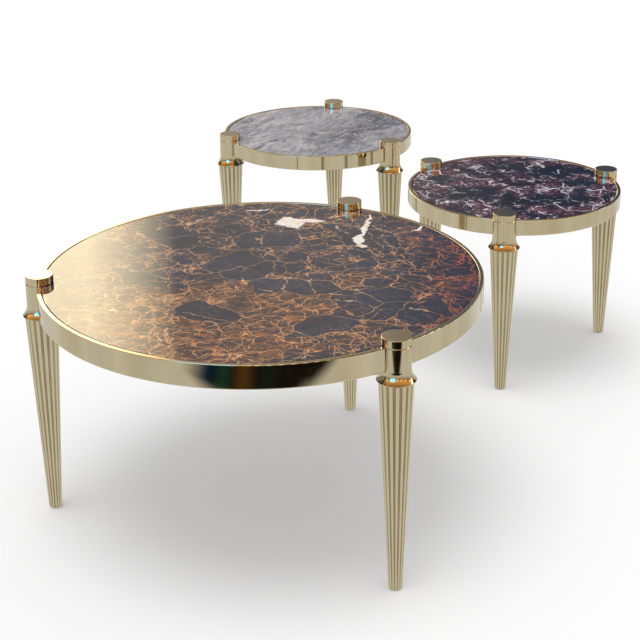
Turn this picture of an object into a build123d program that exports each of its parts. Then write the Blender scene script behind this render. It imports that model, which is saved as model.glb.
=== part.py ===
from build123d import *

import math
import os
from dataclasses import dataclass

# Set of three round tables: a large one and two equal small ones that slide in under it.
# Millimetres, +Z up, floor at Z = 0, front of the set towards -Y. The origin is on the floor
# under the middle of the set's bounding box, with the small tables drawn out.

# ---------------------------------------------------------------- tables
LARGE_RADIUS = 400.0
LARGE_HEIGHT = 450.0
LARGE_RIM_HEIGHT = 43.0
SMALL_RADIUS = 236.0
SMALL_HEIGHT = 388.0
SMALL_RIM_HEIGHT = 35.0
LEG_COUNT = 3

# ---------------------------------------------------------------- rim and top
RIM_WALL = 8.0
RIM_TOP_ROUND = 1.2
RIM_FOOT_CHAMFER = 2.4
SLAB_GAP = 1.2
SLAB_RECESS = 0.5
SLAB_THICKNESS = 20.0
SLAB_ARRIS = 0.8
PAD_THICKNESS = 1.5
PAD_RADIUS = 10.0
PAD_COUNT = 6

# ---------------------------------------------------------------- support frame
FRAME_THICKNESS = 5.0
FRAME_RIM_GAP = 0.5
FRAME_BAND = 44.0
SPOKE_WIDTH = 40.0
HUB_RADIUS = 60.0

# ---------------------------------------------------------------- legs
LEG_INSET = 4.4
NECK_RADIUS = 25.0
NECK_CHAMFER = 0.8
SLOT_FIT = 0.1
COVE_START = 41.0
LIP_RADIUS = 33.3
LIP_DROP = 60.8
LIP_EDGE = 0.9
COLLAR_HEIGHT = 64.0
UNDERSIDE_STEP = 0.4
SHAFT_TOP_RADIUS = 29.7
SHAFT_FOOT_RADIUS = 11.8
FLUTE_COUNT = 16
FLUTE_SHARE = 0.4
FLUTE_DEPTH = 0.06
RIB_CROWN = 0.028
GLIDE_THICKNESS = 2.0
GLIDE_RADIUS = 8.5
GLIDE_PIN_RADIUS = 3.9
GLIDE_PIN_LENGTH = 12.0

# ---------------------------------------------------------------- caps
CAP_RADIUS = 25.0
CAP_HEIGHT = 14.5
CAP_TOP_ROUND = 0.9
CAP_FOOT_CHAMFER = 0.8

# ---------------------------------------------------------------- fasteners
THREAD_FIT = 0.06
CAP_STUD_RADIUS = 2.2
CAP_STUD_IN_CAP = 9.0
CAP_STUD_IN_RIM = 12.0
LEG_STUD_RADIUS = 5.0
LEG_STUD_REACH = 20.0
SCREW_RADIUS = 2.0
SCREW_HEAD_RADIUS = 3.4
SCREW_HEAD_HEIGHT = 2.4
RIM_SCREW_OFFSET = 10.0
RIM_SCREW_BITE = 8.0
RIM_SCREW_RISE = 4.0
FRAME_SCREW_BITE = 7.0
HOLE_END = 0.5


@dataclass
class Table:
    """One table: its name, rim, place on the floor and the bearing of its first leg."""

    name: str
    radius: float
    height: float
    rim_height: float
    x: float
    y: float
    first_leg: float

    @property
    def inner(self):
        return self.radius - RIM_WALL

    @property
    def rim_foot(self):
        return self.height - self.rim_height

    @property
    def slab_foot(self):
        return self.height - SLAB_RECESS - SLAB_THICKNESS

    @property
    def frame_top(self):
        return self.slab_foot - PAD_THICKNESS

    @property
    def frame_foot(self):
        return self.frame_top - FRAME_THICKNESS

    @property
    def leg_radius(self):
        return self.radius - LEG_INSET

    @property
    def bearings(self):
        return [self.first_leg + 360.0 / LEG_COUNT * i for i in range(LEG_COUNT)]


# Places are measured from the large table; the set is centred afterwards.
TABLES = [
    Table("large", LARGE_RADIUS, LARGE_HEIGHT, LARGE_RIM_HEIGHT, 0.0, 0.0, 185.1),
    Table("rear", SMALL_RADIUS, SMALL_HEIGHT, SMALL_RIM_HEIGHT, 104.0, 1153.0, 199.3),
    Table("side", SMALL_RADIUS, SMALL_HEIGHT, SMALL_RIM_HEIGHT, 541.0, 677.0, 138.4),
]


def leg_point(table, bearing, radius=None):
    """Plan position of a leg axis, or of a point at another radius on its bearing."""
    reach = table.leg_radius if radius is None else radius
    angle = math.radians(bearing)
    return table.x + reach * math.cos(angle), table.y + reach * math.sin(angle)


def plan_box():
    """Lowest and highest X and Y that the rims and the leg flanges reach."""
    reaches = [(t.x, t.y, t.radius) for t in TABLES]
    for table in TABLES:
        reaches += [(*leg_point(table, b), LIP_RADIUS) for b in table.bearings]
    low = [min(r[axis] - r[2] for r in reaches) for axis in (0, 1)]
    high = [max(r[axis] + r[2] for r in reaches) for axis in (0, 1)]
    return low, high


def centre_set():
    """Moves the three tables so that the middle of the set is over the origin."""
    low, high = plan_box()
    for table in TABLES:
        table.x -= (low[0] + high[0]) / 2
        table.y -= (low[1] + high[1]) / 2


# ---------------------------------------------------------------- helpers
def rod(x, y, low, high, radius):
    """Upright cylinder between two heights."""
    place = Pos(x, y, (low + high) / 2)
    return place * Cylinder(radius, high - low)


def turned(points, top_round=0.0):
    """Solid of revolution about Z from (radius, height) points, its top corners rounded."""
    section = make_face(Polyline(*[(r, 0, z) for r, z in points], close=True))
    if top_round:
        highest = section.vertices().group_by(Axis.Z)[-1]
        section = fillet([corner for corner in highest if corner.X > top_round], top_round)
    return revolve(section, Axis.Z)


def on_leg(table, bearing, shape):
    """Puts a shape drawn about the origin, with +X outwards, on a leg's axis."""
    x, y = leg_point(table, bearing)
    return Pos(x, y, 0) * Rot(0, 0, bearing) * shape


# ---------------------------------------------------------------- rim, slab and frame
def rim_ring(table):
    """Upright band, rounded on top and bevelled at the foot, drilled for studs and screws."""
    outer = table.radius
    low, high = table.rim_foot, table.height
    ring = turned([
        (table.inner, low),
        (outer - RIM_FOOT_CHAMFER, low),
        (outer, low + RIM_FOOT_CHAMFER),
        (outer, high),
        (table.inner, high),
    ], RIM_TOP_ROUND)
    ring = Pos(table.x, table.y, 0) * ring
    for bearing in table.bearings:
        x, y = leg_point(table, bearing)
        ring -= rod(x, y, high - CAP_STUD_IN_RIM, high, CAP_STUD_RADIUS)
        ring -= rim_screw_holes(table, bearing)
    return ring


def marble_top(table):
    """Round slab with its arrises taken off, set in from the rim by a shadow gap."""
    radius = table.inner - SLAB_GAP
    top = table.height - SLAB_RECESS
    slab = turned([
        (0, table.slab_foot),
        (radius - SLAB_ARRIS, table.slab_foot),
        (radius, table.slab_foot + SLAB_ARRIS),
        (radius, top - SLAB_ARRIS),
        (radius - SLAB_ARRIS, top),
        (0, top),
    ])
    return Pos(table.x, table.y, 0) * slab


def support_frame(table):
    """Flat ring, spokes to the legs and a hub plate, all of one thickness."""
    middle = (table.frame_foot + table.frame_top) / 2
    outer = table.inner - FRAME_RIM_GAP
    frame = Cylinder(outer, FRAME_THICKNESS) - Cylinder(outer - FRAME_BAND, FRAME_THICKNESS)
    frame += Cylinder(HUB_RADIUS, FRAME_THICKNESS)
    reach = outer - FRAME_BAND / 2
    for bearing in table.bearings:
        spoke = Pos(reach / 2, 0, 0) * Box(reach, SPOKE_WIDTH, FRAME_THICKNESS)
        frame += Rot(0, 0, bearing) * spoke
    frame = Pos(table.x, table.y, middle) * frame
    for bearing in table.bearings:
        frame -= frame_screw_hole(table, bearing)
    return frame


def slab_pads(table):
    """Cushion discs between the frame's ring and the slab, clear of the screw heads."""
    radius = table.inner - FRAME_RIM_GAP - FRAME_BAND / 2
    step = 360.0 / PAD_COUNT
    pads = []
    for i in range(PAD_COUNT):
        x, y = leg_point(table, table.first_leg + step * (i + 0.5), radius)
        pads.append(rod(x, y, table.frame_top, table.slab_foot, PAD_RADIUS))
    return Compound(children=pads)


# ---------------------------------------------------------------- legs
def collar_profile():
    """Half section of the collar: neck, cove and lip, as heights below the rim's top."""
    neck_top = (NECK_RADIUS - NECK_CHAMFER, 0)
    neck_edge = (NECK_RADIUS, -NECK_CHAMFER)
    cove_top = (NECK_RADIUS, -COVE_START)
    cove_foot = (LIP_RADIUS, -LIP_DROP)
    lip_foot = (LIP_RADIUS, -LIP_DROP - LIP_EDGE)
    base = (SHAFT_TOP_RADIUS + UNDERSIDE_STEP, -COLLAR_HEIGHT)
    edges = [
        Line((0, 0), neck_top),
        Line(neck_top, neck_edge),
        Line(neck_edge, cove_top),
        TangentArc(cove_top, cove_foot, tangent=(0, -1)),
        Line(cove_foot, lip_foot),
        Line(lip_foot, base),
        Line(base, (0, -COLLAR_HEIGHT)),
        Line((0, -COLLAR_HEIGHT), (0, 0)),
    ]
    return Plane.XZ * make_face(edges)


def leg_collar(table, bearing):
    """Turned collar, slotted over the rim and cut back under the frame and the slab."""
    collar = Pos(0, 0, table.height) * revolve(collar_profile(), Axis.Z)
    collar = on_leg(table, bearing, collar)
    low, high = table.rim_foot, table.height
    slot = rod(table.x, table.y, low, high, table.radius + SLOT_FIT)
    slot -= rod(table.x, table.y, low, high, table.inner - SLOT_FIT)
    collar -= slot
    collar -= rod(table.x, table.y, table.frame_foot, high, table.inner)
    x, y = leg_point(table, bearing)
    base = table.height - COLLAR_HEIGHT
    collar -= rod(x, y, base, base + LEG_STUD_REACH, LEG_STUD_RADIUS)
    collar -= rim_screw_holes(table, bearing)
    collar -= frame_screw_hole(table, bearing)
    return collar


def fluted_outline(radius):
    """Closed outline of crowned ribs with a round-bottomed flute between each pair."""
    pitch = 2 * math.pi / FLUTE_COUNT
    half_flute = pitch * FLUTE_SHARE / 2
    shoulder = radius * (1 - RIB_CROWN)

    def at(angle, distance):
        return distance * math.cos(angle), distance * math.sin(angle)

    edges = []
    for i in range(FLUTE_COUNT):
        start = i * pitch
        bottom = at(start, radius * (1 - RIB_CROWN - FLUTE_DEPTH))
        crown = at(start + pitch / 2, radius)
        left = at(start - half_flute, shoulder)
        right = at(start + half_flute, shoulder)
        edges.append(ThreePointArc(left, bottom, right))
        edges.append(ThreePointArc(right, crown, at(start + pitch - half_flute, shoulder)))
    return make_face(edges)


def leg_shaft(table, bearing):
    """Straight-tapered shaft whose flutes narrow with it, bored for stud and glide pin."""
    top = table.height - COLLAR_HEIGHT
    foot = GLIDE_THICKNESS
    sections = [
        Pos(0, 0, foot) * fluted_outline(SHAFT_FOOT_RADIUS),
        Pos(0, 0, top) * fluted_outline(SHAFT_TOP_RADIUS),
    ]
    shaft = loft(sections, ruled=True)
    shaft -= rod(0, 0, top - LEG_STUD_REACH, top, LEG_STUD_RADIUS)
    shaft -= rod(0, 0, foot, foot + GLIDE_PIN_LENGTH, GLIDE_PIN_RADIUS + THREAD_FIT)
    return on_leg(table, bearing, shaft)


def leg_cap(table, bearing):
    """Plain disc over rim and slab, bored underneath for its stud."""
    low, high = table.height, table.height + CAP_HEIGHT
    cap = turned([
        (0, low),
        (CAP_RADIUS - CAP_FOOT_CHAMFER, low),
        (CAP_RADIUS, low + CAP_FOOT_CHAMFER),
        (CAP_RADIUS, high),
        (0, high),
    ], CAP_TOP_ROUND)
    cap -= rod(0, 0, low, low + CAP_STUD_IN_CAP, CAP_STUD_RADIUS)
    return on_leg(table, bearing, cap)


def foot_glides(table):
    """Discs under the shafts, each with a pin up into the bore."""
    glides = []
    for bearing in table.bearings:
        x, y = leg_point(table, bearing)
        glide = rod(x, y, 0, GLIDE_THICKNESS, GLIDE_RADIUS)
        pin_top = GLIDE_THICKNESS + GLIDE_PIN_LENGTH - HOLE_END
        glide += rod(x, y, GLIDE_THICKNESS, pin_top, GLIDE_PIN_RADIUS)
        glides.append(glide)
    return Compound(children=glides)


# ---------------------------------------------------------------- fasteners
def rim_screw_axis(table, bearing, side):
    """Frame of a radial screw: origin on the collar's inner face, +Z outwards."""
    offset = RIM_SCREW_OFFSET * side
    inner_face = -math.sqrt(NECK_RADIUS**2 - offset**2)
    height = table.rim_foot + RIM_SCREW_RISE
    x, y = leg_point(table, bearing)
    return Pos(x, y, height) * Rot(0, 0, bearing) * Pos(inner_face, offset, 0) * Rot(0, 90, 0)


def rim_screw_length():
    """From the collar's inner face to its bite beyond the leg's axis."""
    return math.sqrt(NECK_RADIUS**2 - RIM_SCREW_OFFSET**2) + LEG_INSET + RIM_SCREW_BITE


def rim_screw_holes(table, bearing):
    """Two radial holes with a counterbore for the heads."""
    length = rim_screw_length()
    hole = Pos(0, 0, length / 2) * Cylinder(SCREW_RADIUS + THREAD_FIT, length)
    hole += Cylinder(SCREW_HEAD_RADIUS + THREAD_FIT, 2 * SCREW_HEAD_HEIGHT)
    return [rim_screw_axis(table, bearing, side) * hole for side in (-1, 1)]


def rim_screws(table):
    """Radial screws that pull the rim against the outer half of each collar."""
    length = rim_screw_length() - HOLE_END
    screw = Pos(0, 0, length / 2) * Cylinder(SCREW_RADIUS, length)
    screw += Pos(0, 0, SCREW_HEAD_HEIGHT / 2) * Cylinder(SCREW_HEAD_RADIUS, SCREW_HEAD_HEIGHT)
    places = [rim_screw_axis(table, b, side) for b in table.bearings for side in (-1, 1)]
    return Compound(children=[place * screw for place in places])


def frame_screw_point(table, bearing):
    """Plan position over the middle of the collar's inner part."""
    inner_edge = table.leg_radius - NECK_RADIUS
    return leg_point(table, bearing, (inner_edge + table.inner) / 2)


def frame_screw_hole(table, bearing):
    """Hole through the frame into the collar, with a recess for the head."""
    x, y = frame_screw_point(table, bearing)
    top = table.frame_top
    hole = rod(x, y, table.frame_foot - FRAME_SCREW_BITE, top, SCREW_RADIUS + THREAD_FIT)
    return hole + rod(x, y, top - SCREW_HEAD_HEIGHT, top, SCREW_HEAD_RADIUS + THREAD_FIT)


def frame_screws(table):
    """Screws that hold the support frame down on the collars."""
    screws = []
    for bearing in table.bearings:
        x, y = frame_screw_point(table, bearing)
        top = table.frame_top
        low = table.frame_foot - FRAME_SCREW_BITE + HOLE_END
        screw = rod(x, y, low, top, SCREW_RADIUS)
        screws.append(screw + rod(x, y, top - SCREW_HEAD_HEIGHT, top, SCREW_HEAD_RADIUS))
    return Compound(children=screws)


def cap_studs(table):
    """Studs that screw into the rim's top edge and carry the caps."""
    low = table.height - CAP_STUD_IN_RIM + HOLE_END
    high = table.height + CAP_STUD_IN_CAP - HOLE_END
    radius = CAP_STUD_RADIUS - THREAD_FIT
    studs = [rod(*leg_point(table, b), low, high, radius) for b in table.bearings]
    return Compound(children=studs)


def leg_studs(table):
    """Studs that join each collar to its shaft."""
    joint = table.height - COLLAR_HEIGHT
    reach = LEG_STUD_REACH - HOLE_END
    radius = LEG_STUD_RADIUS - THREAD_FIT
    places = [leg_point(table, b) for b in table.bearings]
    return Compound(children=[rod(x, y, joint - reach, joint + reach, radius) for x, y in places])


# ---------------------------------------------------------------- output
def table_parts(table):
    """Every piece of one table, by node name."""
    parts = {
        "marble_top": marble_top(table),
        "rim_ring": rim_ring(table),
        "support_frame": support_frame(table),
        "slab_pads": slab_pads(table),
        "cap_studs": cap_studs(table),
        "leg_studs": leg_studs(table),
        "rim_screws": rim_screws(table),
        "frame_screws": frame_screws(table),
        "foot_glides": foot_glides(table),
    }
    for number, bearing in enumerate(table.bearings, start=1):
        parts[f"leg_{number}_cap"] = leg_cap(table, bearing)
        parts[f"leg_{number}_collar"] = leg_collar(table, bearing)
        parts[f"leg_{number}_shaft"] = leg_shaft(table, bearing)
    return {f"{table.name}_{name}": shape for name, shape in parts.items()}


def main():
    os.makedirs("parts", exist_ok=True)
    centre_set()
    for table in TABLES:
        for name, shape in table_parts(table).items():
            export_step(shape, f"parts/{name}.step")


main()
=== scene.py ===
import math
from types import SimpleNamespace

import bpy
from mathutils import Matrix, Vector


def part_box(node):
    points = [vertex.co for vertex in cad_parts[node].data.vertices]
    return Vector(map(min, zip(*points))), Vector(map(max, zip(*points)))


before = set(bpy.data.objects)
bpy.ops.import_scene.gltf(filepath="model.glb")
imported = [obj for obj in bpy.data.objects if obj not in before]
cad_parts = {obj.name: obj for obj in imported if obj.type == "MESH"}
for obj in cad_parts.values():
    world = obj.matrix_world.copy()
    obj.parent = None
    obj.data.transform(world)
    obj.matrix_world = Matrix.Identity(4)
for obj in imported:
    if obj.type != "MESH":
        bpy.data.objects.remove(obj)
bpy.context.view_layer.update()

TABLES = ("large", "rear", "side")
TURNED = ("cap", "collar")

# ---------------------------------------------------------------- camera
LENS = 85.74                    # millimetres
SENSOR = 36.0                   # millimetres
SHIFT_UP = -0.2                 # share of the sensor's width
PITCH_DOWN = 18.198             # degrees
ROLL = -0.668                   # degrees
CAMERA_FROM_LARGE_TABLE = Vector((0.1077, -2.5667))
CAMERA_HEIGHT = 1.4447
CAMERA_REACH = 100.0


# ---------------------------------------------------------------- node tree helper
MIX_FIRST, MIX_SECOND, MIX_RESULT = 6, 7, 2         # the Mix node's colour sockets


class Graph:
    """Short calls for building one shader node tree. A value is a number, a tuple or a socket."""

    def __init__(self, tree):
        self.tree = tree

    def node(self, kind, **settings):
        made = self.tree.nodes.new(kind)
        for name, value in settings.items():
            setattr(made, name, value)
        return made

    def feed(self, socket, value):
        if isinstance(value, bpy.types.NodeSocket):
            self.tree.links.new(value, socket)
        else:
            socket.default_value = value

    def wire(self, node, *values):
        """Feeds the node's first inputs in order and returns its first output."""
        for socket, value in zip(node.inputs, values):
            self.feed(socket, value)
        return node.outputs[0]

    def math(self, operation, *values, clamp=False):
        return self.wire(self.node("ShaderNodeMath", operation=operation, use_clamp=clamp), *values)

    def vector(self, operation, *values):
        node = self.node("ShaderNodeVectorMath", operation=operation)
        for socket, value in zip(node.inputs, values):
            self.feed(socket, value)
        return node.outputs["Value" if operation in ("LENGTH", "DOT_PRODUCT", "DISTANCE") else "Vector"]

    def scaled(self, vector, factor):
        node = self.node("ShaderNodeVectorMath", operation="SCALE")
        self.feed(node.inputs[0], vector)
        self.feed(node.inputs["Scale"], factor)
        return node.outputs[0]

    def step(self, value, start, end, low=0.0, high=1.0):
        """Smooth change from low at start to high at end; start may be above end."""
        if not isinstance(start, bpy.types.NodeSocket) and start > end:
            start, end, low, high = end, start, high, low
        node = self.node("ShaderNodeMapRange", interpolation_type="SMOOTHSTEP")
        return self.wire(node, value, start, end, low, high)

    def line(self, value, start, end, low=0.0, high=1.0):
        """Straight change from low at start to high at end, held beyond both."""
        return self.wire(self.node("ShaderNodeMapRange"), value, start, end, low, high)

    def noise(self, vector, scale, detail=4.0, roughness=0.55, colour=False):
        """Noise of this scale, as a value around 0.5 or as a colour."""
        node = self.node("ShaderNodeTexNoise")
        for name, value in (("Vector", vector), ("Scale", scale), ("Detail", detail),
                            ("Roughness", roughness)):
            self.feed(node.inputs[name], value)
        return node.outputs[1 if colour else 0]

    def cells(self, vector, scale):
        """How far it is to the nearest border of a set of cells, in cell widths."""
        node = self.node("ShaderNodeTexVoronoi", feature="DISTANCE_TO_EDGE")
        self.feed(node.inputs["Vector"], vector)
        self.feed(node.inputs["Scale"], scale)
        return node.outputs["Distance"]

    def cell_of(self, vector, scale):
        """The middle of the cell round the vector, and one chance value for that cell."""
        node = self.node("ShaderNodeTexVoronoi", feature="F1")
        self.feed(node.inputs["Vector"], vector)
        self.feed(node.inputs["Scale"], scale)
        return node.outputs["Position"], self.parts(node.outputs["Color"])[0]

    def mix(self, factor, first, second):
        """The first colour at factor 0, the second at factor 1."""
        node = self.node("ShaderNodeMix", data_type="RGBA")
        self.feed(node.inputs["Factor"], factor)
        self.feed(node.inputs[MIX_FIRST], first)
        self.feed(node.inputs[MIX_SECOND], second)
        return node.outputs[MIX_RESULT]

    def parts(self, vector):
        node = self.node("ShaderNodeSeparateXYZ")
        self.feed(node.inputs[0], vector)
        return node.outputs

    def join(self, x, y, z):
        return self.wire(self.node("ShaderNodeCombineXYZ"), x, y, z)

    def bump(self, height, distance, strength=1.0):
        node = self.node("ShaderNodeBump")
        self.feed(node.inputs["Strength"], strength)
        self.feed(node.inputs["Distance"], distance)
        self.feed(node.inputs["Height"], height)
        return node.outputs[0]

    def warped(self, vector, scale, reach, detail=3.0):
        """The vector, pushed about by up to half of reach by noise of this scale."""
        push = self.noise(vector, scale, detail, colour=True)
        centred = self.vector("SUBTRACT", push, (0.5, 0.5, 0.5))
        return self.vector("ADD", vector, self.scaled(centred, reach))


def rgb(red, green, blue):
    return (red, green, blue, 1.0)


def new_material(name):
    """An empty Principled material, its graph and its shader."""
    material = bpy.data.materials.new(name)
    material.use_nodes = True
    graph = Graph(material.node_tree)
    shader = material.node_tree.nodes["Principled BSDF"]
    return material, graph, shader


def surface(g, shader, colour, rough, normal):
    """Feeds the shader's colour, roughness and normal."""
    g.feed(shader.inputs["Base Color"], colour)
    g.feed(shader.inputs["Roughness"], rough)
    g.feed(shader.inputs["Normal"], normal)


def place(graph, source="Object"):
    """Coordinates of the piece: its own metres, or Generated, 0 to 1 across its box."""
    return graph.node("ShaderNodeTexCoord").outputs[source]


# ---------------------------------------------------------------- brass
BRASS = rgb(0.60, 0.52, 0.35)
BRASS_WARM = rgb(0.57, 0.475, 0.295)
RIB_PAINTED_HIGHLIGHT = rgb(0.65, 0.58, 0.385)
FLUTE_PATINA_AND_SHADE = rgb(0.29, 0.225, 0.120)
SHAFT_FOOT_SHARE = 0.397        # a shaft's radius at its foot, as a share of that at its top


def brass_base(name):
    """Polished brass: faint colour drift, smears of handling and a slight wave in the polish."""
    material, g, shader = new_material(name)
    where = place(g)
    drift = g.noise(where, 9.0, 3.0)
    colour = g.mix(g.step(drift, 0.35, 0.70), BRASS, BRASS_WARM)
    smear = g.noise(g.warped(where, 6.0, 0.15), 26.0, 5.0, 0.6)
    rough = g.step(smear, 0.42, 0.75, 0.035, 0.085)
    wave = g.noise(where, 5.0, 1.0)
    shader.inputs["Metallic"].default_value = 1.0
    return material, g, shader, colour, rough, wave


def round_axis(g):
    """How far it is from the piece's upright axis and up from its foot, in shares of its box."""
    x, y, z = g.parts(g.vector("SUBTRACT", place(g, "Generated"), (0.5, 0.5, 0.0)))
    return g.vector("LENGTH", g.join(x, y, 0.0)), z


def plain_brass():
    """Brass of the rims, with the common polish and no more."""
    material, g, shader, colour, rough, wave = brass_base("brass_polished")
    surface(g, shader, colour, rough, g.bump(wave, 0.002, 0.15))
    return material


def turned_brass():
    """Brass of caps and collars: very fine lathe rings about the piece's own upright axis."""
    material, g, shader, colour, rough, wave = brass_base("brass_turned")
    radius, z = round_axis(g)
    rings = g.noise(g.join(g.math("MULTIPLY", radius, 140.0), 0.0, g.math("MULTIPLY", z, 60.0)), 1.0, 2.0)
    rough = g.math("ADD", rough, g.step(rings, 0.40, 0.70, 0.0, 0.03))
    height = g.math("ADD", wave, g.math("MULTIPLY", rings, 0.004))
    surface(g, shader, colour, rough, g.bump(height, 0.002, 0.12))
    return material


def fluted_brass():
    """Brass of the shafts: paler rib crowns as a painted highlight, and darker metal down in the flutes,
    partly patina and partly painted shade.
    """
    material, g, shader, colour, rough, wave = brass_base("brass_fluted")
    radius, z = round_axis(g)
    taper = g.line(z, 0.0, 1.0, SHAFT_FOOT_SHARE, 1.0)
    reach = g.math("DIVIDE", radius, g.math("MULTIPLY", taper, 0.5))
    depth = g.step(reach, 0.968, 0.944)
    # Painted highlight: the rib crowns are tinted paler.
    colour = g.mix(g.step(reach, 0.970, 0.990, 0.0, 0.8), colour, RIB_PAINTED_HIGHLIGHT)
    # Darker metal down in the flutes: partly patina, partly painted shade.
    flute_patina_and_shade = g.math("MULTIPLY", depth, g.step(g.noise(place(g), 14.0, 3.0), 0.30, 0.75, 0.50, 0.95))
    colour = g.mix(flute_patina_and_shade, colour, FLUTE_PATINA_AND_SHADE)
    rough = g.math("ADD", rough, g.math("MULTIPLY", depth, 0.05))
    surface(g, shader, colour, rough, g.bump(wave, 0.002, 0.12))
    return material


# ---------------------------------------------------------------- marble
def crack(g, distance, width):
    """A line where the distance to a cell's edge is near nothing."""
    return g.step(distance, width, 0.0)


def blob(g, vector, centre, size, turn=0.0, power=2.0):
    """1 in the middle of an ellipse about centre, falling to 0 past its edge; power 1 is a lozenge."""
    node = g.node("ShaderNodeMapping", vector_type="TEXTURE")
    node.inputs["Location"].default_value = (*centre, 0.0)
    node.inputs["Rotation"].default_value = (0.0, 0.0, math.radians(turn))
    node.inputs["Scale"].default_value = (*size, 1.0)
    g.feed(node.inputs["Vector"], vector)
    x, y, _ = g.parts(node.outputs[0])
    away = [g.math("POWER", g.math("ABSOLUTE", side), power) for side in (x, y)]
    return g.step(g.math("ADD", *away), 1.5, 0.5)


def stain(g, colour, mask, amount, tint):
    """The colour with some of a tint where the mask is."""
    return g.mix(g.math("MULTIPLY", mask, amount, clamp=True), colour, tint)


def slab_place(g, table):
    """Coordinates of the slab's own, from the middle of its face."""
    low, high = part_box(f"{table}_marble_top")
    middle = ((low.x + high.x) / 2, (low.y + high.y) / 2, high.z)
    return g.vector("SUBTRACT", place(g), middle)


def finish_stone(g, shader, colour, soft, where, ior=1.62, coat=0.2):
    """Polished face with fine crystal; the soft veins are a little duller and lower."""
    crystal = g.noise(where, 900.0, 2.0)
    rough = g.math("ADD", g.math("MULTIPLY", soft, 0.05), g.step(crystal, 0.3, 0.8, 0.02, 0.045))
    height = g.math("ADD", g.math("MULTIPLY", soft, -0.3), g.math("MULTIPLY", crystal, 0.1))
    surface(g, shader, colour, rough, g.bump(height, 0.0001, 0.25))
    shader.inputs["IOR"].default_value = ior
    shader.inputs["Coat Weight"].default_value = coat
    shader.inputs["Coat Roughness"].default_value = 0.02


BROWN_BLACK = rgb(0.004, 0.009, 0.022)
BROWN_SLATE = rgb(0.008, 0.018, 0.044)
BROWN_UMBER = rgb(0.036, 0.020, 0.018)
BROWN_HAZE = rgb(0.135, 0.050, 0.018)
RUST = rgb(0.370, 0.130, 0.032)
COPPER_DARK = rgb(0.270, 0.110, 0.038)
COPPER = rgb(0.580, 0.275, 0.110)
COPPER_RED = rgb(0.500, 0.100, 0.035)
COPPER_LIGHT = rgb(0.740, 0.450, 0.225)
CREAM = rgb(0.740, 0.540, 0.370)
QUARTZ = rgb(0.860, 0.800, 0.750)

# Clean dark facets and quartz patches of the large slab: centre, half size and turn.
CLEAN_FACETS = (
    ((0.172, -0.102), (0.070, 0.058), -12.0),
    ((0.093, -0.087), (0.034, 0.036), 10.0),
    ((0.153, -0.182), (0.044, 0.034), -18.0),
    ((0.258, -0.175), (0.044, 0.028), 20.0),
    ((0.109, -0.254), (0.028, 0.052), 18.0),
    ((0.216, -0.244), (0.036, 0.024), 14.0),
    ((0.117, 0.235), (0.040, 0.044), -30.0),
    ((0.224, 0.246), (0.036, 0.034), 20.0),
    ((0.009, 0.154), (0.050, 0.050), 35.0),
    ((0.193, 0.019), (0.056, 0.030), 5.0),
    ((0.236, 0.146), (0.056, 0.040), -20.0),
    ((-0.056, 0.036), (0.078, 0.050), -34.0),
    ((0.008, -0.057), (0.044, 0.034), 24.0),
    ((0.347, 0.009), (0.040, 0.034), 40.0),
    ((-0.068, -0.202), (0.026, 0.026), 12.0),
    ((-0.160, 0.190), (0.056, 0.040), 25.0),
    ((-0.240, 0.030), (0.050, 0.034), -20.0),
)
QUARTZ_PATCHES = (
    ((0.050, 0.270), (0.031, 0.036), 22.0),
    ((0.086, 0.279), (0.032, 0.012), -7.0),
    ((0.182, 0.166), (0.013, 0.030), -8.0),
    ((0.197, 0.240), (0.0050, 0.080), -9.0),
    ((0.184, 0.130), (0.011, 0.010), 0.0),
    ((0.297, 0.226), (0.026, 0.0035), 48.0),
    ((-0.020, 0.350), (0.026, 0.0045), 8.0),
)


def crack_net(g, vector, shift, cells_per_metre, width):
    """Outlines of a set of cells, about this wide in metres, from its own part of the pattern."""
    moved = g.vector("ADD", vector, (shift, -shift, shift * 0.5))
    return crack(g, g.cells(moved, cells_per_metre), width * cells_per_metre)


STRETCH = 1.07                  # how far the brown stone's pattern is drawn out from left to right
FACETS_PER_METRE = 12.5
LONG_CRACKS_PER_METRE = 7.0


def net_layout(g, here, fine):
    """Where the brown stone's copper net is calm, busy, patchy, thick or red, each up to about 1."""
    x = g.parts(here)[0]
    middle_of_cell, chance = g.cell_of(fine, FACETS_PER_METRE)
    middle_of_cell = g.vector("MULTIPLY", middle_of_cell, (STRETCH, 1.0 / STRETCH, 1.0))
    listed = 0.0
    for centre, size, turn in CLEAN_FACETS:
        listed = g.math("MAXIMUM", listed, blob(g, middle_of_cell, centre, size, turn))
    listed = g.step(listed, 0.30, 0.45)
    calm = g.step(x, -0.36, -0.17, 0.30, 1.0)
    busy = g.math("MULTIPLY", calm, g.math("SUBTRACT", 1.0, g.math("MULTIPLY", listed, 0.97)))
    crowd = blob(g, here, (-0.080, -0.230), (0.290, 0.190), 12.0)
    patchy = g.noise(here, 8.5, 5.0, 0.65)
    spread = g.step(g.math("ADD", patchy, g.math("MULTIPLY", chance, 0.16)), 0.48, 0.68, 0.20, 0.90)
    fill = g.math("MULTIPLY", g.math("MAXIMUM", crowd, spread), busy)
    dense = g.step(g.math("ADD", patchy, g.math("MULTIPLY", crowd, 0.23)), 0.48, 0.69)
    thick = g.math("MULTIPLY", dense, fill)
    red = g.step(g.math("ADD", x, g.math("MULTIPLY", g.noise(here, 7.0), 0.16)), 0.30, 0.44)
    return SimpleNamespace(calm=calm, busy=busy, crowd=crowd, patchy=patchy,
                           fill=fill, thick=thick, red=red)


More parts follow.
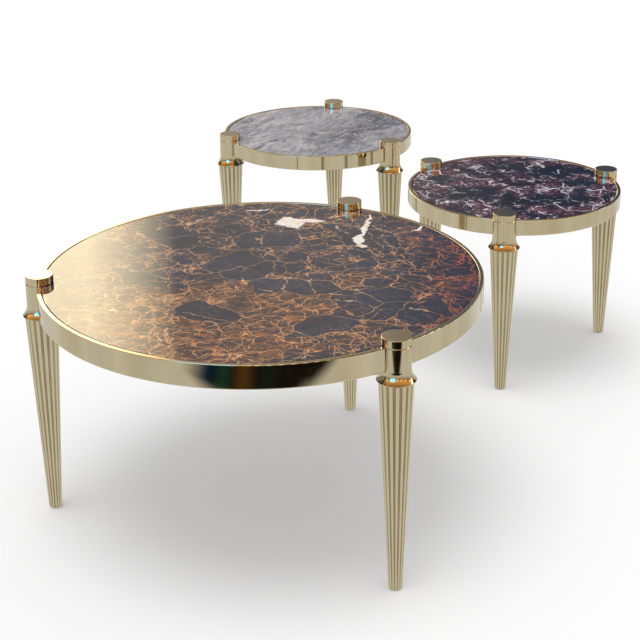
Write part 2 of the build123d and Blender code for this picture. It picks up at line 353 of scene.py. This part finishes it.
def brown_body(g, here, bent, fine, net):
    """The stone between the veins: slate, with umber, fibres and rust where the net is thick."""
    slate = g.step(g.noise(bent, 8.0, 3.0), 0.35, 0.65)
    colour = g.mix(slate, BROWN_BLACK, BROWN_SLATE)
    colour = stain(g, colour, net.thick, 0.7, BROWN_UMBER)
    fibres = g.step(g.noise(fine, 46.0, 6.0, 0.75), 0.45, 0.62)
    colour = stain(g, colour, g.math("MULTIPLY", fibres, net.thick), 0.80, BROWN_HAZE)
    bloom = g.math("MULTIPLY", g.step(g.noise(here, 12.0, 5.0, 0.65), 0.46, 0.64), fibres)
    bloom = g.math("MULTIPLY", bloom, g.math("ADD", g.math("MULTIPLY", net.crowd, 0.75), 0.25))
    return stain(g, colour, g.math("MULTIPLY", bloom, net.thick), 0.90, RUST)


def copper_veins(g, colour, here, fine, net):
    """The colour under six sizes of copper vein, and the masks of the three that dull the polish."""
    copper = g.mix(net.red, COPPER, COPPER_RED)
    bright = g.mix(net.red, COPPER_LIGHT, COPPER_RED)
    coarse_breaks = g.noise(here, 15.0, 4.0, 0.65)
    fine_breaks = g.noise(here, 40.0, 4.0, 0.70)

    mesh = g.math("MULTIPLY", crack_net(g, fine, 3.1, 105.0, 0.0012), net.thick)
    mesh = g.math("MULTIPLY", mesh, g.step(fine_breaks, 0.44, 0.60))
    colour = stain(g, colour, mesh, 0.85, COPPER_DARK)
    hair = g.math("MULTIPLY", crack_net(g, fine, 1.7, 58.0, 0.0012), net.fill)
    hair = g.math("MULTIPLY", hair, g.step(fine_breaks, 0.46, 0.58))
    hair = g.math("MULTIPLY", hair, g.step(net.patchy, 0.42, 0.60))
    colour = stain(g, colour, hair, 1.2, copper)
    thin = g.math("MULTIPLY", crack_net(g, fine, 0.9, 31.0, 0.0012), g.math("ADD", net.fill, 0.12))
    thin = g.math("MULTIPLY", thin, g.step(coarse_breaks, 0.42, 0.54))
    colour = stain(g, colour, thin, 1.1, copper)
    stray = g.math("MULTIPLY", crack_net(g, fine, 2.3, 20.0, 0.0010), g.step(fine_breaks, 0.40, 0.54))
    colour = stain(g, colour, g.math("MULTIPLY", stray, g.math("ADD", net.busy, 0.15)), 1.0, copper)
    middle = crack_net(g, fine, 0.0, FACETS_PER_METRE, 0.0013)
    middle = g.math("MULTIPLY", middle, g.step(fine_breaks, 0.36, 0.52, 0.25, 1.0))
    middle = g.math("MULTIPLY", middle, g.step(coarse_breaks, 0.38, 0.54, 0.45, 1.0))
    middle = g.math("MULTIPLY", middle, net.calm)
    colour = stain(g, colour, middle, 0.85, g.mix(g.step(net.patchy, 0.46, 0.60), copper, bright))
    swell = g.step(g.noise(here, 10.0, 3.0), 0.50, 0.68, 0.0009, 0.0042)
    long_cracks = g.cells(g.vector("ADD", fine, (0.37, 0.11, 0.0)), LONG_CRACKS_PER_METRE)
    wide = g.step(g.math("DIVIDE", long_cracks, g.math("MULTIPLY", swell, LONG_CRACKS_PER_METRE)), 1.0, 0.1)
    wide = g.math("MULTIPLY", wide, g.step(fine_breaks, 0.42, 0.56))
    wide = g.math("MULTIPLY", wide, g.step(g.noise(here, 13.0, 3.0), 0.40, 0.58))
    colour = stain(g, colour, wide, 0.95, g.mix(g.step(g.noise(here, 21.0), 0.50, 0.72), bright, CREAM))
    return colour, thin, middle, wide


def quartz_patches(g, here, fine):
    """The crumbled pale patches: their mask and their cloudy colour."""
    quartz = 0.0
    ragged = g.warped(g.warped(here, 30.0, 0.026), 110.0, 0.010, 5.0)
    for centre, size, turn in QUARTZ_PATCHES:
        quartz = g.math("MAXIMUM", quartz, blob(g, ragged, centre, size, turn, 1.2))
    crumbled = g.math("MULTIPLY", g.math("SUBTRACT", g.noise(fine, 90.0, 5.0, 0.75), 0.5), 1.1)
    quartz = g.step(g.math("ADD", quartz, crumbled), 0.35, 0.60)
    cloudy = g.mix(g.step(g.noise(fine, 60.0, 5.0, 0.7), 0.44, 0.66), QUARTZ, CREAM)
    return quartz, cloudy


def brown_marble():
    """Slate-dark stone under a copper net of every size, with clean facets and quartz patches."""
    material, g, shader = new_material("marble_brown")
    here = slab_place(g, "large")
    drawn = g.vector("MULTIPLY", here, (1.0 / STRETCH, STRETCH, 1.0))
    bent = g.warped(drawn, 9.0, 0.050, 3.0)
    fine = g.warped(g.warped(bent, 38.0, 0.015), 120.0, 0.0045, 3.0)
    net = net_layout(g, here, fine)
    colour = brown_body(g, here, bent, fine, net)
    colour, thin, middle, wide = copper_veins(g, colour, here, fine, net)
    quartz, cloudy = quartz_patches(g, here, fine)
    colour = g.mix(quartz, colour, cloudy)
    soft = g.math("MAXIMUM", g.math("MAXIMUM", thin, middle), g.math("MAXIMUM", wide, quartz))
    finish_stone(g, shader, colour, soft, here)
    return material


GREY_LIGHT = rgb(0.410, 0.385, 0.400)
GREY_MID = rgb(0.215, 0.225, 0.270)
GREY_BLUE = rgb(0.062, 0.080, 0.130)
GREY_NAVY = rgb(0.018, 0.027, 0.055)
GREY_TAN = rgb(0.470, 0.385, 0.350)
GREY_WHITE = rgb(0.640, 0.610, 0.610)
STREAK_TURN = 52.0              # degrees that the grey stone's pattern is turned by


def grey_marble():
    """Pale blue-grey stone with slanting drifts, a torn navy band and thin pale veins."""
    material, g, shader = new_material("marble_grey")
    here = slab_place(g, "rear")
    turned = g.node("ShaderNodeMapping", vector_type="TEXTURE")
    turned.inputs["Rotation"].default_value = (0.0, 0.0, math.radians(STREAK_TURN))
    g.feed(turned.inputs["Vector"], g.warped(here, 6.0, 0.07))
    along, across, up = g.parts(turned.outputs[0])
    streaky = g.join(g.math("MULTIPLY", along, 0.32), across, up)
    fine = g.warped(streaky, 34.0, 0.020, 4.0)
    grit = g.warped(fine, 110.0, 0.006, 3.0)

    cloud = g.noise(streaky, 14.0, 6.0, 0.62)
    colour = g.mix(g.step(cloud, 0.42, 0.58), GREY_MID, GREY_LIGHT)
    drift = g.step(g.noise(fine, 24.0, 6.0, 0.72), 0.50, 0.64)
    colour = stain(g, colour, drift, 0.90, GREY_BLUE)
    grain = g.noise(grit, 110.0, 5.0, 0.7)
    colour = stain(g, colour, g.step(grain, 0.50, 0.62), 0.65, GREY_BLUE)
    colour = stain(g, colour, g.step(grain, 0.47, 0.36), 0.55, GREY_WHITE)

    off = g.math("ABSOLUTE", g.math("ADD", across, 0.080))
    band = g.step(g.math("ADD", off, g.math("MULTIPLY", g.noise(here, 9.0, 3.0), 0.06)), 0.140, 0.045)
    band = g.math("MULTIPLY", band, g.step(along, -0.16, 0.02))
    torn = g.step(g.noise(grit, 42.0, 6.0, 0.75), 0.44, 0.56)
    colour = stain(g, colour, g.math("MULTIPLY", band, 0.60), 1.0, GREY_BLUE)
    colour = stain(g, colour, g.math("MULTIPLY", band, torn), 0.95, GREY_NAVY)
    dark = g.step(g.noise(grit, 26.0, 6.0, 0.75), 0.55, 0.66)
    colour = stain(g, colour, dark, 0.70, GREY_NAVY)

    ridge = g.math("ABSOLUTE", g.math("SUBTRACT", g.noise(fine, 20.0, 5.0, 0.6), 0.5))
    tan = g.math("MULTIPLY", g.step(ridge, 0.018, 0.0), g.step(g.noise(here, 12.0), 0.42, 0.58))
    colour = stain(g, colour, tan, 0.70, GREY_TAN)
    thread = g.math("ABSOLUTE", g.math("SUBTRACT", g.noise(grit, 44.0, 4.0, 0.6), 0.5))
    pale = g.math("MULTIPLY", g.step(thread, 0.018, 0.0), g.step(g.noise(here, 26.0), 0.46, 0.58))
    colour = stain(g, colour, pale, 0.80, GREY_WHITE)
    crackle = crack(g, g.cells(grit, 38.0), 0.045)
    crackle = g.math("MULTIPLY", crackle, g.step(g.noise(here, 23.0), 0.52, 0.66))
    colour = stain(g, colour, crackle, 0.55, GREY_WHITE)
    finish_stone(g, shader, colour, pale, here)
    return material


NAVY_BLACK = rgb(0.002, 0.004, 0.011)
NAVY = rgb(0.006, 0.010, 0.022)
WINE_DARK = rgb(0.038, 0.011, 0.020)
WINE = rgb(0.155, 0.050, 0.070)
MAUVE = rgb(0.360, 0.215, 0.255)
VEIN_WHITE = rgb(0.740, 0.730, 0.760)

NAVY_FACETS = (
    ((-0.098, -0.048), (0.066, 0.052), 10.0),
    ((0.108, 0.105), (0.070, 0.046), 8.0),
    ((0.085, -0.100), (0.090, 0.036), 10.0),
    ((0.150, 0.020), (0.050, 0.026), 24.0),
    ((-0.010, 0.140), (0.040, 0.030), -10.0),
    ((-0.150, 0.050), (0.034, 0.030), 20.0),
)


def navy_marble():
    """Near-black stone with wine-red mottling and broken white veins."""
    material, g, shader = new_material("marble_navy")
    here = slab_place(g, "side")
    bent = g.warped(g.warped(here, 6.0, 0.10), 24.0, 0.03, 4.0)
    fine = g.warped(bent, 70.0, 0.012, 4.0)

    clean = 0.0
    loose = g.warped(here, 15.0, 0.045)
    for centre, size, turn in NAVY_FACETS:
        clean = g.math("MAXIMUM", clean, blob(g, loose, centre, size, turn))
    busy = g.math("SUBTRACT", 1.0, g.math("MULTIPLY", clean, 0.92))

    colour = g.mix(g.step(g.noise(bent, 10.0), 0.35, 0.65), NAVY_BLACK, NAVY)
    mottle = g.step(g.noise(fine, 15.0, 6.0, 0.7), 0.42, 0.60)
    mottle = g.math("MULTIPLY", mottle, busy)
    colour = g.mix(mottle, colour, WINE_DARK)
    specks = g.math("MULTIPLY", mottle, g.step(g.noise(fine, 75.0, 5.0, 0.7), 0.47, 0.62))
    colour = g.mix(specks, colour, WINE)
    flecks = g.math("MULTIPLY", mottle, g.step(g.noise(fine, 130.0, 4.0, 0.7), 0.56, 0.68))
    colour = stain(g, colour, flecks, 0.9, MAUVE)

    breaks = g.noise(here, 24.0, 4.0, 0.65)
    hair = g.math("MULTIPLY", crack_net(g, fine, 1.3, 70.0, 0.0011), g.step(breaks, 0.46, 0.58))
    hair = g.math("MULTIPLY", hair, busy)
    colour = stain(g, colour, hair, 0.9, MAUVE)
    thin = g.math("MULTIPLY", crack_net(g, fine, 0.6, 34.0, 0.0017), g.step(breaks, 0.50, 0.58))
    thin = g.math("MULTIPLY", thin, g.math("ADD", busy, 0.25, clamp=True))
    colour = stain(g, colour, thin, 1.0, VEIN_WHITE)
    wide = crack_net(g, fine, 0.2, 15.0, 0.0028)
    wide = g.math("MULTIPLY", wide, g.step(g.noise(here, 16.0, 3.0), 0.50, 0.58))
    colour = stain(g, colour, wide, 0.95, VEIN_WHITE)
    finish_stone(g, shader, colour, g.math("MAXIMUM", thin, wide), here, ior=1.48, coat=0.1)
    return material


# ---------------------------------------------------------------- hidden hardware
POWDER_BLACK = rgb(0.012, 0.012, 0.013)
DUST = rgb(0.035, 0.033, 0.030)
ZINC = rgb(0.50, 0.50, 0.51)
ZINC_YELLOWED = rgb(0.48, 0.44, 0.34)
RUBBER = rgb(0.020, 0.019, 0.018)
NYLON = rgb(0.030, 0.027, 0.024)


def frame_paint():
    """Black powder coat: orange peel, and a little dust lying on it."""
    material, g, shader = new_material("frame_powder_coat")
    where = place(g)
    peel = g.noise(where, 650.0, 2.0)
    dust = g.step(g.noise(where, 16.0, 5.0, 0.7), 0.45, 0.75)
    colour = g.mix(dust, POWDER_BLACK, DUST)
    surface(g, shader, colour, g.step(dust, 0.0, 1.0, 0.38, 0.55), g.bump(peel, 0.0002, 0.5))
    return material


def screw_steel():
    """Zinc-plated steel with a fine cut and a yellowish bloom."""
    material, g, shader = new_material("steel_zinc_plated")
    where = place(g)
    cut = g.noise(g.vector("MULTIPLY", where, (1.0, 1.0, 8.0)), 400.0, 2.0)
    bloom = g.noise(where, 90.0, 3.0)
    colour = g.mix(g.step(bloom, 0.4, 0.7), ZINC, ZINC_YELLOWED)
    shader.inputs["Metallic"].default_value = 1.0
    surface(g, shader, colour, g.step(cut, 0.3, 0.7, 0.25, 0.42), g.bump(cut, 0.0001, 0.4))
    return material


def soft_black(name, colour, grain, dull):
    """Rubber or nylon: fine moulded grain and a slightly chalky surface."""
    material, g, shader = new_material(name)
    where = place(g)
    grains = g.noise(where, grain, 3.0, 0.6)
    chalk = g.step(g.noise(where, 60.0, 4.0, 0.7), 0.4, 0.75)
    lighter = rgb(*(channel * 1.9 + 0.01 for channel in colour[:3]))
    rough = g.step(grains, 0.3, 0.7, dull - 0.1, dull + 0.05)
    surface(g, shader, g.mix(chalk, colour, lighter), rough, g.bump(grains, 0.0002, 0.5))
    return material


# ---------------------------------------------------------------- which node wears what
def wear(node, material):
    """Puts one material on a CAD node."""
    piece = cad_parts[node]
    for slot in piece.material_slots:
        slot.material = material


def dress_tables():
    """Every CAD node gets its material; all three tables are made of the same kinds of piece."""
    stones = {"large": brown_marble(), "rear": grey_marble(), "side": navy_marble()}
    plain, turned, fluted = plain_brass(), turned_brass(), fluted_brass()
    paint, steel = frame_paint(), screw_steel()
    rubber = soft_black("pad_rubber", RUBBER, 500.0, 0.75)
    nylon = soft_black("glide_nylon", NYLON, 350.0, 0.55)
    for table in TABLES:
        wear(f"{table}_marble_top", stones[table])
        wear(f"{table}_rim_ring", plain)
        wear(f"{table}_support_frame", paint)
        wear(f"{table}_slab_pads", rubber)
        wear(f"{table}_foot_glides", nylon)
        for hardware in ("cap_studs", "leg_studs", "rim_screws", "frame_screws"):
            wear(f"{table}_{hardware}", steel)
        for leg in (1, 2, 3):
            for part in TURNED:
                wear(f"{table}_leg_{leg}_{part}", turned)
            wear(f"{table}_leg_{leg}_shaft", fluted)


# ---------------------------------------------------------------- stage
WHITE = rgb(1.0, 1.0, 1.0)
BLACK = rgb(0.0, 0.0, 0.0)
FLOOR_GREY = rgb(0.665, 0.665, 0.67)
FLOOR_PALE = rgb(0.685, 0.685, 0.685)
FLOOR_REACH = 30.0
FLOOR_GLOW = 0.215
DOME = rgb(0.80, 0.80, 0.80)
KEY = 1.30
KEY_SPREAD = 38.0               # degrees across the lamp's disc
KEY_TURN = (6.0, -7.0, 0.0)     # degrees about X, Y and Z


def flat_sheet(name, left, right, front, back, height):
    """A level rectangle in the scene, with its mesh."""
    mesh = bpy.data.meshes.new(name)
    corners = [(left, front, height), (right, front, height), (right, back, height), (left, back, height)]
    mesh.from_pydata(corners, [], [(0, 1, 2, 3)])
    sheet = bpy.data.objects.new(name, mesh)
    bpy.context.scene.collection.objects.link(sheet)
    return sheet, mesh


def pale_floor():
    """A wide plain floor, lit a little from within so that shadows on it stay pale."""
    floor, mesh = flat_sheet("floor", -FLOOR_REACH, FLOOR_REACH, -FLOOR_REACH, FLOOR_REACH, 0.0)
    material, g, shader = new_material("floor_pale")
    tone = g.noise(place(g), 2.0, 3.0)
    g.feed(shader.inputs["Base Color"], g.mix(tone, FLOOR_GREY, FLOOR_PALE))
    shader.inputs["Roughness"].default_value = 0.9
    shader.inputs["Emission Color"].default_value = WHITE
    shader.inputs["Emission Strength"].default_value = FLOOR_GLOW
    shader.inputs["Specular IOR Level"].default_value = 0.0
    mesh.materials.append(material)
    floor.visible_glossy = False


def studio():
    """Surroundings: white for the camera, a soft pale dome for light, a lit room for reflections."""
    world = bpy.data.worlds.new("studio")
    bpy.context.scene.world = world
    world.use_nodes = True
    g = Graph(world.node_tree)
    back = world.node_tree.nodes["Background"]
    x, y, z = g.parts(g.vector("NORMALIZE", place(g, "Generated")))
    degrees = 180.0 / math.pi
    bearing = g.math("MULTIPLY", g.math("ARCTAN2", x, y), degrees)
    rise = g.math("MULTIPLY", g.math("ARCSINE", z), degrees)
    behind = g.math("SUBTRACT", 180.0, g.math("ABSOLUTE", bearing))
    room = room_above(g, bearing, rise, behind)
    ground = room_below(g, bearing)
    reflected = g.mix(g.step(rise, -7.0, -2.0), ground, room)
    path = g.node("ShaderNodeLightPath")
    seen = g.mix(path.outputs["Is Glossy Ray"], DOME, reflected)
    seen = g.mix(path.outputs["Is Camera Ray"], seen, WHITE)
    g.feed(back.inputs["Color"], seen)
    back.inputs["Strength"].default_value = 1.0


FAR_PALE = rgb(0.46, 0.41, 0.365)
FAR_BLUE = rgb(0.08, 0.10, 0.15)
BRIGHT_PANEL = rgb(4.4, 3.7, 2.45)
SIDE_DARK = rgb(0.05, 0.05, 0.05)
BRIGHT_DOOR = rgb(3.2, 3.0, 2.7)
BLUE_WINDOW = rgb(0.5, 3.0, 6.5)
CEILING = rgb(1.7, 1.55, 1.25)
HORIZON = rgb(0.64, 0.61, 0.56)


def room_above(g, bearing, rise, behind):
    """What is reflected from above the horizon, in degrees; bearing 0 is the far side, +90 the right."""
    far = g.mix(g.step(bearing, 9.5, -0.5), FAR_BLUE, FAR_PALE)
    panel = g.math("MULTIPLY", g.line(bearing, -5.8, -9.3), g.step(bearing, -38.0, -32.0))
    panel = g.math("MULTIPLY", panel, g.step(rise, 48.0, 38.0))
    far = g.mix(panel, far, BRIGHT_PANEL)
    off = g.math("MULTIPLY", behind, g.math("SIGN", bearing))
    warm = g.math("MULTIPLY", g.step(off, -118.0, -92.0), g.step(off, 118.0, 100.0))
    near = g.mix(warm, SIDE_DARK, timber(g, bearing, rise))
    colour = g.mix(g.step(behind, 138.0, 122.0), far, near)
    door = g.step(g.math("ABSOLUTE", g.math("SUBTRACT", off, 106.0)), 7.0, 5.0)
    door = g.math("MULTIPLY", door, g.step(rise, 52.0, 44.0))
    colour = g.mix(door, colour, BRIGHT_DOOR)
    window = g.step(g.math("ABSOLUTE", g.math("ADD", bearing, 153.0)), 16.0, 13.5)
    window = g.math("MULTIPLY", window, g.step(rise, 8.0, 12.0))
    window = g.math("MULTIPLY", window, g.step(rise, 34.0, 28.0))
    colour = g.mix(window, colour, BLUE_WINDOW)
    colour = g.mix(g.step(rise, 62.0, 74.0), colour, CEILING)
    return g.mix(g.step(rise, 10.5, 7.0), colour, HORIZON)


BOARDS_WARM = rgb(0.95, 0.50, 0.15)
BOARDS_HIGH = rgb(0.42, 0.22, 0.09)
BOARDS_LOW = rgb(0.17, 0.135, 0.105)
LAMP_GAP = rgb(0.08, 0.05, 0.03)
LAMP = rgb(2.3, 1.25, 0.46)


def timber(g, bearing, rise):
    """Warm boards behind the camera, darker high up and near the floor, with a low row of lamps."""
    boards = g.mix(g.step(rise, 26.0, 62.0), BOARDS_WARM, BOARDS_HIGH)
    boards = g.mix(g.step(rise, 16.5, 13.5), boards, BOARDS_LOW)
    stripes = g.noise(g.join(g.math("MULTIPLY", bearing, 0.15), 0.0, 0.0), 1.0, 1.0)
    lamps = g.mix(g.step(stripes, 0.45, 0.53), LAMP_GAP, LAMP)
    low = g.math("MULTIPLY", g.step(rise, 13.5, 16.5), g.step(rise, 29.0, 23.0))
    return g.mix(low, boards, lamps)


GROUND_GREY = rgb(0.72, 0.72, 0.71)
GROUND_PALE = rgb(0.83, 0.83, 0.81)


def room_below(g, bearing):
    """What upright brass reflects: a pale ground with soft bands."""
    bands = g.noise(g.join(g.math("MULTIPLY", bearing, 0.045), 0.0, 0.0), 1.0, 2.0)
    return g.mix(g.step(bands, 0.35, 0.65), GROUND_GREY, GROUND_PALE)


REFLECTION_SHEET_LEFT, REFLECTION_SHEET_RIGHT = -0.94, 0.86
REFLECTION_SHEET_FRONT, REFLECTION_SHEET_BACK = -3.0, -1.62
REFLECTION_SHEET_HEIGHT = 0.002
EDGE_FADE_SIDE, EDGE_FADE_BACK = 0.30, 0.10         # how far the sheet fades at its edges to a pale glow like the ground's colour, a painted reflection
REFLECTION_DARK_GLOW = rgb(0.010, 0.008, 0.007)
REFLECTION_PALE_GLOW = rgb(0.76, 0.76, 0.75)

# Painted reflection: faint glowing colours across the dark sheet: middle, half width and colour.
REFLECTION_STREAKS = (
    (-0.700, 0.180, (0.003, 0.026, 0.080)),
    (-0.510, 0.130, (0.012, 0.052, 0.042)),
    (-0.320, 0.150, (0.090, 0.048, 0.012)),
    (-0.100, 0.160, (0.012, 0.018, 0.014)),
)


def painted_reflection_sheet():
    """A near-black sheet on the floor before the set, glowing with faint coloured streaks and pale edges
    and seen only in reflections on upright brass: a painted reflection.
    """
    glow_sheet, mesh = flat_sheet("painted_reflection_sheet", REFLECTION_SHEET_LEFT, REFLECTION_SHEET_RIGHT, REFLECTION_SHEET_FRONT, REFLECTION_SHEET_BACK, REFLECTION_SHEET_HEIGHT)
    material, g, shader = new_material("painted_reflection_glow")
    across, along, _ = g.parts(place(g))
    colour = REFLECTION_DARK_GLOW
    # Painted reflection: faint coloured streaks glowing across the sheet.
    for middle, reach, tint in REFLECTION_STREAKS:
        mask = g.step(g.math("ABSOLUTE", g.math("SUBTRACT", across, middle)), reach, 0.0)
        colour = g.mix(mask, colour, rgb(*tint))
    edge_fade_left = g.step(across, REFLECTION_SHEET_LEFT, REFLECTION_SHEET_LEFT + EDGE_FADE_SIDE)
    edge_fade = g.math("MINIMUM", edge_fade_left, g.step(across, REFLECTION_SHEET_RIGHT, REFLECTION_SHEET_RIGHT - EDGE_FADE_SIDE))
    edge_fade = g.math("MINIMUM", edge_fade, g.step(along, REFLECTION_SHEET_BACK, REFLECTION_SHEET_BACK - EDGE_FADE_BACK))
    colour = g.mix(edge_fade, REFLECTION_PALE_GLOW, colour)
    # The sheet glows in these colours though it is no lamp: a painted reflection, seen only in reflections.
    g.feed(shader.inputs["Emission Color"], colour)
    shader.inputs["Emission Strength"].default_value = 1.0
    shader.inputs["Base Color"].default_value = BLACK
    shader.inputs["Specular IOR Level"].default_value = 0.0
    mesh.materials.append(material)
    glow_sheet.visible_camera = False
    glow_sheet.visible_diffuse = False
    glow_sheet.visible_shadow = False


def key_light():
    """One broad soft light, nearly overhead, from a little to the left and in front."""
    light = bpy.data.lights.new("key", "SUN")
    light.energy = KEY
    light.angle = math.radians(KEY_SPREAD)
    lamp = bpy.data.objects.new("key", light)
    lamp.rotation_euler = [math.radians(turn) for turn in KEY_TURN]
    lamp.visible_glossy = False
    bpy.context.scene.collection.objects.link(lamp)


def camera():
    """The camera, placed from the middle of the large table's rim."""
    low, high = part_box("large_rim_ring")
    middle = (low + high) / 2
    data = bpy.data.cameras.new("camera")
    data.lens = LENS
    data.sensor_width = SENSOR
    data.shift_y = SHIFT_UP
    data.clip_end = CAMERA_REACH
    made = bpy.data.objects.new("camera", data)
    bpy.context.scene.collection.objects.link(made)
    spot = Vector((middle.x, middle.y)) + CAMERA_FROM_LARGE_TABLE
    pitch = Matrix.Rotation(math.radians(90.0 - PITCH_DOWN), 4, "X")
    roll = Matrix.Rotation(math.radians(ROLL), 4, "Z")
    made.matrix_world = Matrix.Translation((spot.x, spot.y, CAMERA_HEIGHT)) @ pitch @ roll
    bpy.context.scene.camera = made


dress_tables()
pale_floor()
painted_reflection_sheet()
studio()
key_light()
camera()
bpy.context.scene.view_settings.view_transform = "Standard"
